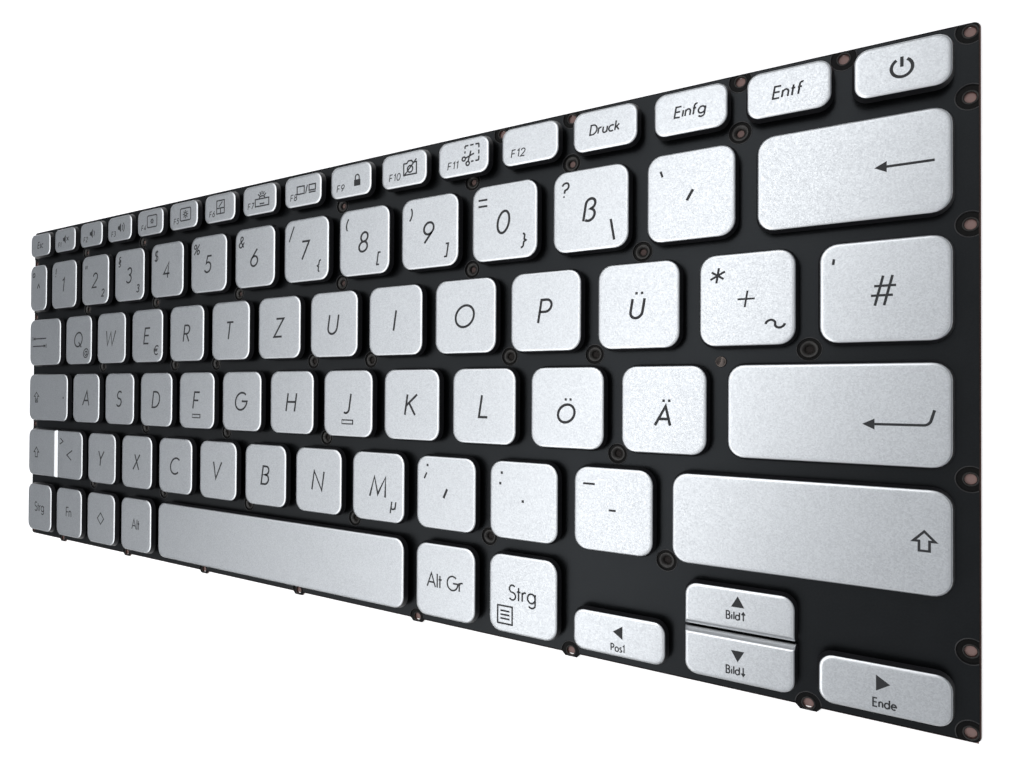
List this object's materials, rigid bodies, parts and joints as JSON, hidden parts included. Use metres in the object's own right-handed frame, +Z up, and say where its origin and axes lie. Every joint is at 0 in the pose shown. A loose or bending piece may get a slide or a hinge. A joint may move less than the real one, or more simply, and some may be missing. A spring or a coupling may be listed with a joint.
{
  "type": "laptop keyboard",
  "caption": "Frameless laptop replacement keyboard: flat silver keys with rounded corners, spaced apart over a black contact film on a thin metal plate with rivet holes.",
  "frame": {"origin": "on the underside of the plate, under the middle of the whole object", "axes": "+X to the typist's right along the rows, +Y away from the typist, +Z up out of the key tops"},
  "size_m": [0.2778, 0.108, 0.0036],
  "materials": {
    "key_plastic": "fine silver sparkle paint on black plastic",
    "black_film": "matte printed film",
    "plate_metal": "plain rolled sheet",
    "dome_rubber": "matte silicone rubber",
    "link_plastic": "moulded acetal",
    "wire_steel": "drawn wire"
  },
  "bodies": {
    "base": {"base_plate": "plate_metal", "function_row_keys": "key_plastic", "membrane": "black_film", "number_row_keys": "key_plastic", "rubber_domes": "dome_rubber", "scissor_inner_links": "link_plastic", "scissor_outer_links": "link_plastic", "stabiliser_bars": "wire_steel"},
    "key_a": {"key_a": "key_plastic"},
    "key_a_umlaut": {"key_a_umlaut": "key_plastic"},
    "key_alt_graph": {"key_alt_graph": "key_plastic"},
    "key_arrow_down": {"key_arrow_down": "key_plastic"},
    "key_arrow_left": {"key_arrow_left": "key_plastic"},
    "key_arrow_right": {"key_arrow_right": "key_plastic"},
    "key_arrow_up": {"key_arrow_up": "key_plastic"},
    "key_b": {"key_b": "key_plastic"},
    "key_backspace": {"key_backspace": "key_plastic"},
    "key_c": {"key_c": "key_plastic"},
    "key_caps_lock": {"key_caps_lock": "key_plastic"},
    "key_comma": {"key_comma": "key_plastic"},
    "key_d": {"key_d": "key_plastic"},
    "key_e": {"key_e": "key_plastic"},
    "key_enter": {"key_enter": "key_plastic"},
    "key_f": {"key_f": "key_plastic"},
    "key_function": {"key_function": "key_plastic"},
    "key_g": {"key_g": "key_plastic"},
    "key_h": {"key_h": "key_plastic"},
    "key_hash": {"key_hash": "key_plastic"},
    "key_i": {"key_i": "key_plastic"},
    "key_j": {"key_j": "key_plastic"},
    "key_k": {"key_k": "key_plastic"},
    "key_l": {"key_l": "key_plastic"},
    "key_left_alt": {"key_left_alt": "key_plastic"},
    "key_left_control": {"key_left_control": "key_plastic"},
    "key_left_shift": {"key_left_shift": "key_plastic"},
    "key_less_than": {"key_less_than": "key_plastic"},
    "key_m": {"key_m": "key_plastic"},
    "key_minus": {"key_minus": "key_plastic"},
    "key_n": {"key_n": "key_plastic"},
    "key_o": {"key_o": "key_plastic"},
    "key_o_umlaut": {"key_o_umlaut": "key_plastic"},
    "key_p": {"key_p": "key_plastic"},
    "key_period": {"key_period": "key_plastic"},
    "key_plus": {"key_plus": "key_plastic"},
    "key_q": {"key_q": "key_plastic"},
    "key_r": {"key_r": "key_plastic"},
    "key_right_control": {"key_right_control": "key_plastic"},
    "key_right_shift": {"key_right_shift": "key_plastic"},
    "key_s": {"key_s": "key_plastic"},
    "key_space": {"key_space": "key_plastic"},
    "key_system": {"key_system": "key_plastic"},
    "key_t": {"key_t": "key_plastic"},
    "key_tab": {"key_tab": "key_plastic"},
    "key_u": {"key_u": "key_plastic"},
    "key_u_umlaut": {"key_u_umlaut": "key_plastic"},
    "key_v": {"key_v": "key_plastic"},
    "key_w": {"key_w": "key_plastic"},
    "key_x": {"key_x": "key_plastic"},
    "key_y": {"key_y": "key_plastic"},
    "key_z": {"key_z": "key_plastic"}
  },
  "joints": [
    {"name": "press_a", "type": "slide", "parent": "base", "child": "key_a", "axis": [0, 0, -1], "range_m": [0, 0.0014], "stiffness_N_per_m": 400, "springref_m": -0.0003, "deforming": ["rubber_domes", "scissor_outer_links", "scissor_inner_links"]},
    {"name": "press_a_umlaut", "type": "slide", "parent": "base", "child": "key_a_umlaut", "axis": [0, 0, -1], "range_m": [0, 0.0014], "stiffness_N_per_m": 400, "springref_m": -0.0003, "deforming": ["rubber_domes", "scissor_outer_links", "scissor_inner_links"]},
    {"name": "press_alt_graph", "type": "slide", "parent": "base", "child": "key_alt_graph", "axis": [0, 0, -1], "range_m": [0, 0.0014], "stiffness_N_per_m": 400, "springref_m": -0.0003, "deforming": ["rubber_domes", "scissor_outer_links", "scissor_inner_links"]},
    {"name": "press_arrow_down", "type": "slide", "parent": "base", "child": "key_arrow_down", "axis": [0, 0, -1], "range_m": [0, 0.0014], "stiffness_N_per_m": 400, "springref_m": -0.0003, "deforming": ["rubber_domes", "scissor_outer_links", "scissor_inner_links"]},
    {"name": "press_arrow_left", "type": "slide", "parent": "base", "child": "key_arrow_left", "axis": [0, 0, -1], "range_m": [0, 0.0014], "stiffness_N_per_m": 400, "springref_m": -0.0003, "deforming": ["rubber_domes", "scissor_outer_links", "scissor_inner_links"]},
    {"name": "press_arrow_right", "type": "slide", "parent": "base", "child": "key_arrow_right", "axis": [0, 0, -1], "range_m": [0, 0.0014], "stiffness_N_per_m": 400, "springref_m": -0.0003, "deforming": ["rubber_domes", "scissor_outer_links", "scissor_inner_links"]},
    {"name": "press_arrow_up", "type": "slide", "parent": "base", "child": "key_arrow_up", "axis": [0, 0, -1], "range_m": [0, 0.0014], "stiffness_N_per_m": 400, "springref_m": -0.0003, "deforming": ["rubber_domes", "scissor_outer_links", "scissor_inner_links"]},
    {"name": "press_b", "type": "slide", "parent": "base", "child": "key_b", "axis": [0, 0, -1], "range_m": [0, 0.0014], "stiffness_N_per_m": 400, "springref_m": -0.0003, "deforming": ["rubber_domes", "scissor_outer_links", "scissor_inner_links"]},
    {"name": "press_backspace", "type": "slide", "parent": "base", "child": "key_backspace", "axis": [0, 0, -1], "range_m": [0, 0.0014], "stiffness_N_per_m": 400, "springref_m": -0.0003, "deforming": ["rubber_domes", "scissor_outer_links", "scissor_inner_links", "stabiliser_bars"]},
    {"name": "press_c", "type": "slide", "parent": "base", "child": "key_c", "axis": [0, 0, -1], "range_m": [0, 0.0014], "stiffness_N_per_m": 400, "springref_m": -0.0003, "deforming": ["rubber_domes", "scissor_outer_links", "scissor_inner_links"]},
    {"name": "press_caps_lock", "type": "slide", "parent": "base", "child": "key_caps_lock", "axis": [0, 0, -1], "range_m": [0, 0.0014], "stiffness_N_per_m": 400, "springref_m": -0.0003, "deforming": ["rubber_domes", "scissor_outer_links", "scissor_inner_links", "stabiliser_bars"]},
    {"name": "press_comma", "type": "slide", "parent": "base", "child": "key_comma", "axis": [0, 0, -1], "range_m": [0, 0.0014], "stiffness_N_per_m": 400, "springref_m": -0.0003, "deforming": ["rubber_domes", "scissor_outer_links", "scissor_inner_links"]},
    {"name": "press_d", "type": "slide", "parent": "base", "child": "key_d", "axis": [0, 0, -1], "range_m": [0, 0.0014], "stiffness_N_per_m": 400, "springref_m": -0.0003, "deforming": ["rubber_domes", "scissor_outer_links", "scissor_inner_links"]},
    {"name": "press_e", "type": "slide", "parent": "base", "child": "key_e", "axis": [0, 0, -1], "range_m": [0, 0.0014], "stiffness_N_per_m": 400, "springref_m": -0.0003, "deforming": ["rubber_domes", "scissor_outer_links", "scissor_inner_links"]},
    {"name": "press_enter", "type": "slide", "parent": "base", "child": "key_enter", "axis": [0, 0, -1], "range_m": [0, 0.0014], "stiffness_N_per_m": 400, "springref_m": -0.0003, "deforming": ["rubber_domes", "scissor_outer_links", "scissor_inner_links", "stabiliser_bars"]},
    {"name": "press_f", "type": "slide", "parent": "base", "child": "key_f", "axis": [0, 0, -1], "range_m": [0, 0.0014], "stiffness_N_per_m": 400, "springref_m": -0.0003, "deforming": ["rubber_domes", "scissor_outer_links", "scissor_inner_links"]},
    {"name": "press_function", "type": "slide", "parent": "base", "child": "key_function", "axis": [0, 0, -1], "range_m": [0, 0.0014], "stiffness_N_per_m": 400, "springref_m": -0.0003, "deforming": ["rubber_domes", "scissor_outer_links", "scissor_inner_links"]},
    {"name": "press_g", "type": "slide", "parent": "base", "child": "key_g", "axis": [0, 0, -1], "range_m": [0, 0.0014], "stiffness_N_per_m": 400, "springref_m": -0.0003, "deforming": ["rubber_domes", "scissor_outer_links", "scissor_inner_links"]},
    {"name": "press_h", "type": "slide", "parent": "base", "child": "key_h", "axis": [0, 0, -1], "range_m": [0, 0.0014], "stiffness_N_per_m": 400, "springref_m": -0.0003, "deforming": ["rubber_domes", "scissor_outer_links", "scissor_inner_links"]},
    {"name": "press_hash", "type": "slide", "parent": "base", "child": "key_hash", "axis": [0, 0, -1], "range_m": [0, 0.0014], "stiffness_N_per_m": 400, "springref_m": -0.0003, "deforming": ["rubber_domes", "scissor_outer_links", "scissor_inner_links"]},
    {"name": "press_i", "type": "slide", "parent": "base", "child": "key_i", "axis": [0, 0, -1], "range_m": [0, 0.0014], "stiffness_N_per_m": 400, "springref_m": -0.0003, "deforming": ["rubber_domes", "scissor_outer_links", "scissor_inner_links"]},
    {"name": "press_j", "type": "slide", "parent": "base", "child": "key_j", "axis": [0, 0, -1], "range_m": [0, 0.0014], "stiffness_N_per_m": 400, "springref_m": -0.0003, "deforming": ["rubber_domes", "scissor_outer_links", "scissor_inner_links"]},
    {"name": "press_k", "type": "slide", "parent": "base", "child": "key_k", "axis": [0, 0, -1], "range_m": [0, 0.0014], "stiffness_N_per_m": 400, "springref_m": -0.0003, "deforming": ["rubber_domes", "scissor_outer_links", "scissor_inner_links"]},
    {"name": "press_l", "type": "slide", "parent": "base", "child": "key_l", "axis": [0, 0, -1], "range_m": [0, 0.0014], "stiffness_N_per_m": 400, "springref_m": -0.0003, "deforming": ["rubber_domes", "scissor_outer_links", "scissor_inner_links"]},
    {"name": "press_left_alt", "type": "slide", "parent": "base", "child": "key_left_alt", "axis": [0, 0, -1], "range_m": [0, 0.0014], "stiffness_N_per_m": 400, "springref_m": -0.0003, "deforming": ["rubber_domes", "scissor_outer_links", "scissor_inner_links"]},
    {"name": "press_left_control", "type": "slide", "parent": "base", "child": "key_left_control", "axis": [0, 0, -1], "range_m": [0, 0.0014], "stiffness_N_per_m": 400, "springref_m": -0.0003, "deforming": ["rubber_domes", "scissor_outer_links", "scissor_inner_links"]},
    {"name": "press_left_shift", "type": "slide", "parent": "base", "child": "key_left_shift", "axis": [0, 0, -1], "range_m": [0, 0.0014], "stiffness_N_per_m": 400, "springref_m": -0.0003, "deforming": ["rubber_domes", "scissor_outer_links", "scissor_inner_links"]},
    {"name": "press_less_than", "type": "slide", "parent": "base", "child": "key_less_than", "axis": [0, 0, -1], "range_m": [0, 0.0014], "stiffness_N_per_m": 400, "springref_m": -0.0003, "deforming": ["rubber_domes", "scissor_outer_links", "scissor_inner_links"]},
    {"name": "press_m", "type": "slide", "parent": "base", "child": "key_m", "axis": [0, 0, -1], "range_m": [0, 0.0014], "stiffness_N_per_m": 400, "springref_m": -0.0003, "deforming": ["rubber_domes", "scissor_outer_links", "scissor_inner_links"]},
    {"name": "press_minus", "type": "slide", "parent": "base", "child": "key_minus", "axis": [0, 0, -1], "range_m": [0, 0.0014], "stiffness_N_per_m": 400, "springref_m": -0.0003, "deforming": ["rubber_domes", "scissor_outer_links", "scissor_inner_links"]},
    {"name": "press_n", "type": "slide", "parent": "base", "child": "key_n", "axis": [0, 0, -1], "range_m": [0, 0.0014], "stiffness_N_per_m": 400, "springref_m": -0.0003, "deforming": ["rubber_domes", "scissor_outer_links", "scissor_inner_links"]},
    {"name": "press_o", "type": "slide", "parent": "base", "child": "key_o", "axis": [0, 0, -1], "range_m": [0, 0.0014], "stiffness_N_per_m": 400, "springref_m": -0.0003, "deforming": ["rubber_domes", "scissor_outer_links", "scissor_inner_links"]},
    {"name": "press_o_umlaut", "type": "slide", "parent": "base", "child": "key_o_umlaut", "axis": [0, 0, -1], "range_m": [0, 0.0014], "stiffness_N_per_m": 400, "springref_m": -0.0003, "deforming": ["rubber_domes", "scissor_outer_links", "scissor_inner_links"]},
    {"name": "press_p", "type": "slide", "parent": "base", "child": "key_p", "axis": [0, 0, -1], "range_m": [0, 0.0014], "stiffness_N_per_m": 400, "springref_m": -0.0003, "deforming": ["rubber_domes", "scissor_outer_links", "scissor_inner_links"]},
    {"name": "press_period", "type": "slide", "parent": "base", "child": "key_period", "axis": [0, 0, -1], "range_m": [0, 0.0014], "stiffness_N_per_m": 400, "springref_m": -0.0003, "deforming": ["rubber_domes", "scissor_outer_links", "scissor_inner_links"]},
    {"name": "press_plus", "type": "slide", "parent": "base", "child": "key_plus", "axis": [0, 0, -1], "range_m": [0, 0.0014], "stiffness_N_per_m": 400, "springref_m": -0.0003, "deforming": ["rubber_domes", "scissor_outer_links", "scissor_inner_links"]},
    {"name": "press_q", "type": "slide", "parent": "base", "child": "key_q", "axis": [0, 0, -1], "range_m": [0, 0.0014], "stiffness_N_per_m": 400, "springref_m": -0.0003, "deforming": ["rubber_domes", "scissor_outer_links", "scissor_inner_links"]},
    {"name": "press_r", "type": "slide", "parent": "base", "child": "key_r", "axis": [0, 0, -1], "range_m": [0, 0.0014], "stiffness_N_per_m": 400, "springref_m": -0.0003, "deforming": ["rubber_domes", "scissor_outer_links", "scissor_inner_links"]},
    {"name": "press_right_control", "type": "slide", "parent": "base", "child": "key_right_control", "axis": [0, 0, -1], "range_m": [0, 0.0014], "stiffness_N_per_m": 400, "springref_m": -0.0003, "deforming": ["rubber_domes", "scissor_outer_links", "scissor_inner_links"]},
    {"name": "press_right_shift", "type": "slide", "parent": "base", "child": "key_right_shift", "axis": [0, 0, -1], "range_m": [0, 0.0014], "stiffness_N_per_m": 400, "springref_m": -0.0003, "deforming": ["rubber_domes", "scissor_outer_links", "scissor_inner_links", "stabiliser_bars"]},
    {"name": "press_s", "type": "slide", "parent": "base", "child": "key_s", "axis": [0, 0, -1], "range_m": [0, 0.0014], "stiffness_N_per_m": 400, "springref_m": -0.0003, "deforming": ["rubber_domes", "scissor_outer_links", "scissor_inner_links"]},
    {"name": "press_space", "type": "slide", "parent": "base", "child": "key_space", "axis": [0, 0, -1], "range_m": [0, 0.0014], "stiffness_N_per_m": 400, "springref_m": -0.0003, "deforming": ["rubber_domes", "scissor_outer_links", "scissor_inner_links", "stabiliser_bars"]},
    {"name": "press_system", "type": "slide", "parent": "base", "child": "key_system", "axis": [0, 0, -1], "range_m": [0, 0.0014], "stiffness_N_per_m": 400, "springref_m": -0.0003, "deforming": ["rubber_domes", "scissor_outer_links", "scissor_inner_links"]},
    {"name": "press_t", "type": "slide", "parent": "base", "child": "key_t", "axis": [0, 0, -1], "range_m": [0, 0.0014], "stiffness_N_per_m": 400, "springref_m": -0.0003, "deforming": ["rubber_domes", "scissor_outer_links", "scissor_inner_links"]},
    {"name": "press_tab", "type": "slide", "parent": "base", "child": "key_tab", "axis": [0, 0, -1], "range_m": [0, 0.0014], "stiffness_N_per_m": 400, "springref_m": -0.0003, "deforming": ["rubber_domes", "scissor_outer_links", "scissor_inner_links"]},
    {"name": "press_u", "type": "slide", "parent": "base", "child": "key_u", "axis": [0, 0, -1], "range_m": [0, 0.0014], "stiffness_N_per_m": 400, "springref_m": -0.0003, "deforming": ["rubber_domes", "scissor_outer_links", "scissor_inner_links"]},
    {"name": "press_u_umlaut", "type": "slide", "parent": "base", "child": "key_u_umlaut", "axis": [0, 0, -1], "range_m": [0, 0.0014], "stiffness_N_per_m": 400, "springref_m": -0.0003, "deforming": ["rubber_domes", "scissor_outer_links", "scissor_inner_links"]},
    {"name": "press_v", "type": "slide", "parent": "base", "child": "key_v", "axis": [0, 0, -1], "range_m": [0, 0.0014], "stiffness_N_per_m": 400, "springref_m": -0.0003, "deforming": ["rubber_domes", "scissor_outer_links", "scissor_inner_links"]},
    {"name": "press_w", "type": "slide", "parent": "base", "child": "key_w", "axis": [0, 0, -1], "range_m": [0, 0.0014], "stiffness_N_per_m": 400, "springref_m": -0.0003, "deforming": ["rubber_domes", "scissor_outer_links", "scissor_inner_links"]},
    {"name": "press_x", "type": "slide", "parent": "base", "child": "key_x", "axis": [0, 0, -1], "range_m": [0, 0.0014], "stiffness_N_per_m": 400, "springref_m": -0.0003, "deforming": ["rubber_domes", "scissor_outer_links", "scissor_inner_links"]},
    {"name": "press_y", "type": "slide", "parent": "base", "child": "key_y", "axis": [0, 0, -1], "range_m": [0, 0.0014], "stiffness_N_per_m": 400, "springref_m": -0.0003, "deforming": ["rubber_domes", "scissor_outer_links", "scissor_inner_links"]},
    {"name": "press_z", "type": "slide", "parent": "base", "child": "key_z", "axis": [0, 0, -1], "range_m": [0, 0.0014], "stiffness_N_per_m": 400, "springref_m": -0.0003, "deforming": ["rubber_domes", "scissor_outer_links", "scissor_inner_links"]}
  ]
}
